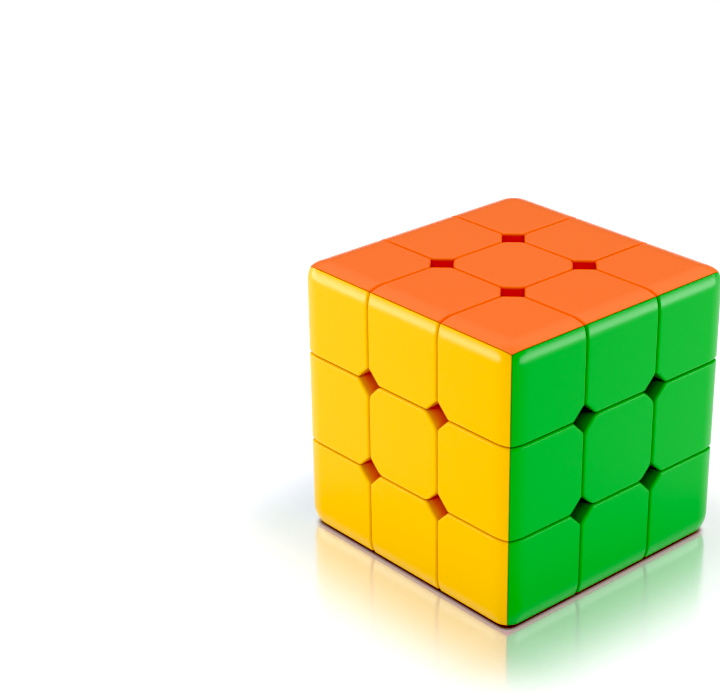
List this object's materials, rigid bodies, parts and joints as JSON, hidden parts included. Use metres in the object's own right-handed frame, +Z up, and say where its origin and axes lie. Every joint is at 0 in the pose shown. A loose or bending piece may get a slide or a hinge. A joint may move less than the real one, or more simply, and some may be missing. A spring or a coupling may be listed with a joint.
{
  "type": "twisty puzzle cube",
  "caption": "Stickerless twisty puzzle cube with coloured moulded pieces on a sprung core; the top and bottom layers turn and the centre caps pull off.",
  "frame": {"origin": "centre of the core, where all six turning axes meet; also the centre of the cube", "axes": "+Z up through the top (orange) centre, -Y out of the front (yellow) face, +X out of the right (green) face"},
  "size_m": [0.056, 0.056, 0.056],
  "materials": {
    "orange_plastic": "satin-gloss moulded ABS",
    "yellow_plastic": "satin-gloss moulded ABS",
    "green_plastic": "satin-gloss moulded ABS",
    "white_plastic": "satin-gloss moulded ABS",
    "blue_plastic": "satin-gloss moulded ABS",
    "red_plastic": "satin-gloss moulded ABS",
    "core_plastic": "plain moulded, natural colour",
    "steel": "bright zinc plated"
  },
  "bodies": {
    "middle_layer": {"back_centre_base": "white_plastic", "core": "core_plastic", "edge_middle_back_left_blue_half": "blue_plastic", "edge_middle_back_left_white_half": "white_plastic", "edge_middle_back_right_green_half": "green_plastic", "edge_middle_back_right_white_half": "white_plastic", "edge_middle_front_left_blue_half": "blue_plastic", "edge_middle_front_left_yellow_half": "yellow_plastic", "edge_middle_front_right_green_half": "green_plastic", "edge_middle_front_right_yellow_half": "yellow_plastic", "front_centre_base": "yellow_plastic", "left_centre_base": "blue_plastic", "right_centre_base": "green_plastic", "spring_washers": "steel", "tension_screws": "steel", "tension_springs": "steel"},
    "top_layer": {"corner_feet_top": "core_plastic", "corner_top_back_left_blue_shell": "blue_plastic", "corner_top_back_left_orange_shell": "orange_plastic", "corner_top_back_left_white_shell": "white_plastic", "corner_top_back_right_green_shell": "green_plastic", "corner_top_back_right_orange_shell": "orange_plastic", "corner_top_back_right_white_shell": "white_plastic", "corner_top_front_left_blue_shell": "blue_plastic", "corner_top_front_left_orange_shell": "orange_plastic", "corner_top_front_left_yellow_shell": "yellow_plastic", "corner_top_front_right_green_shell": "green_plastic", "corner_top_front_right_orange_shell": "orange_plastic", "corner_top_front_right_yellow_shell": "yellow_plastic", "edge_top_back_white_half": "white_plastic", "edge_top_front_yellow_half": "yellow_plastic", "edge_top_left_blue_half": "blue_plastic", "edge_top_orange_halves": "orange_plastic", "edge_top_right_green_half": "green_plastic", "top_centre_base": "orange_plastic"},
    "bottom_layer": {"bottom_centre_base": "red_plastic", "corner_bottom_back_left_blue_shell": "blue_plastic", "corner_bottom_back_left_red_shell": "red_plastic", "corner_bottom_back_left_white_shell": "white_plastic", "corner_bottom_back_right_green_shell": "green_plastic", "corner_bottom_back_right_red_shell": "red_plastic", "corner_bottom_back_right_white_shell": "white_plastic", "corner_bottom_front_left_blue_shell": "blue_plastic", "corner_bottom_front_left_red_shell": "red_plastic", "corner_bottom_front_left_yellow_shell": "yellow_plastic", "corner_bottom_front_right_green_shell": "green_plastic", "corner_bottom_front_right_red_shell": "red_plastic", "corner_bottom_front_right_yellow_shell": "yellow_plastic", "corner_feet_bottom": "core_plastic", "edge_bottom_back_white_half": "white_plastic", "edge_bottom_front_yellow_half": "yellow_plastic", "edge_bottom_left_blue_half": "blue_plastic", "edge_bottom_red_halves": "red_plastic", "edge_bottom_right_green_half": "green_plastic"},
    "top_cap": {"top_centre_cap": "orange_plastic"},
    "bottom_cap": {"bottom_centre_cap": "red_plastic"},
    "front_cap": {"front_centre_cap": "yellow_plastic"},
    "back_cap": {"back_centre_cap": "white_plastic"},
    "left_cap": {"left_centre_cap": "blue_plastic"},
    "right_cap": {"right_centre_cap": "green_plastic"}
  },
  "joints": [
    {"name": "top_layer_turn", "type": "hinge", "parent": "middle_layer", "child": "top_layer", "pos_m": [0, 0, 0], "axis": [0, 0, 1], "continuous": true},
    {"name": "bottom_layer_turn", "type": "hinge", "parent": "middle_layer", "child": "bottom_layer", "pos_m": [0, 0, 0], "axis": [0, 0, -1], "continuous": true},
    {"name": "top_cap_pull", "type": "slide", "parent": "top_layer", "child": "top_cap", "axis": [0, 0, 1], "range_m": [0, 0.008]},
    {"name": "bottom_cap_pull", "type": "slide", "parent": "bottom_layer", "child": "bottom_cap", "axis": [0, 0, -1], "range_m": [0, 0.008]},
    {"name": "front_cap_pull", "type": "slide", "parent": "middle_layer", "child": "front_cap", "axis": [0, -1, 0], "range_m": [0, 0.008]},
    {"name": "back_cap_pull", "type": "slide", "parent": "middle_layer", "child": "back_cap", "axis": [0, 1, 0], "range_m": [0, 0.008]},
    {"name": "left_cap_pull", "type": "slide", "parent": "middle_layer", "child": "left_cap", "axis": [-1, 0, 0], "range_m": [0, 0.008]},
    {"name": "right_cap_pull", "type": "slide", "parent": "middle_layer", "child": "right_cap", "axis": [1, 0, 0], "range_m": [0, 0.008]}
  ]
}
